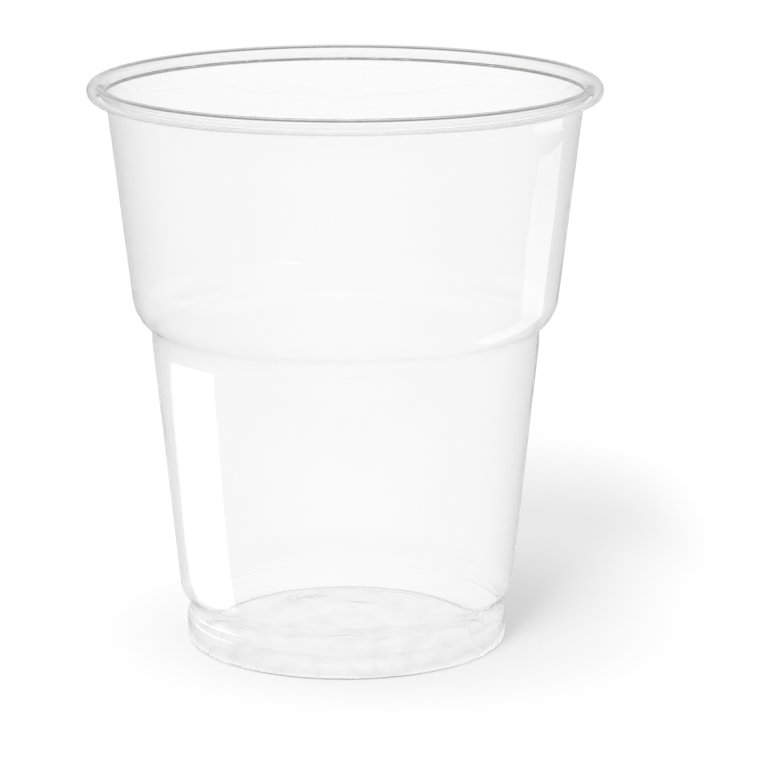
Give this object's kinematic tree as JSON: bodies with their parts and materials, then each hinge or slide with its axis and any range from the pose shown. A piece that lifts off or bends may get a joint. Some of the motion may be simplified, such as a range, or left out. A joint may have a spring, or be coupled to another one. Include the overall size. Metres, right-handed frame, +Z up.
{
  "type": "disposable drinking cup",
  "caption": "Clear stepped disposable drinking cup in one thin shell, with a rolled rim, a rounded shoulder, a tapered lower body and a foot ring.",
  "frame": {"origin": "centre of the flat ring that the cup stands on", "axes": "+Z up along the cup's axis, towards the rim; the plain fill line is on the -Y side, 14 degrees towards -X"},
  "size_m": [0.095, 0.095, 0.106],
  "materials": {
    "clear_plastic": "clear, smooth and glossy"
  },
  "bodies": {
    "root": {"cup": "clear_plastic"}
  },
  "joints": []
}
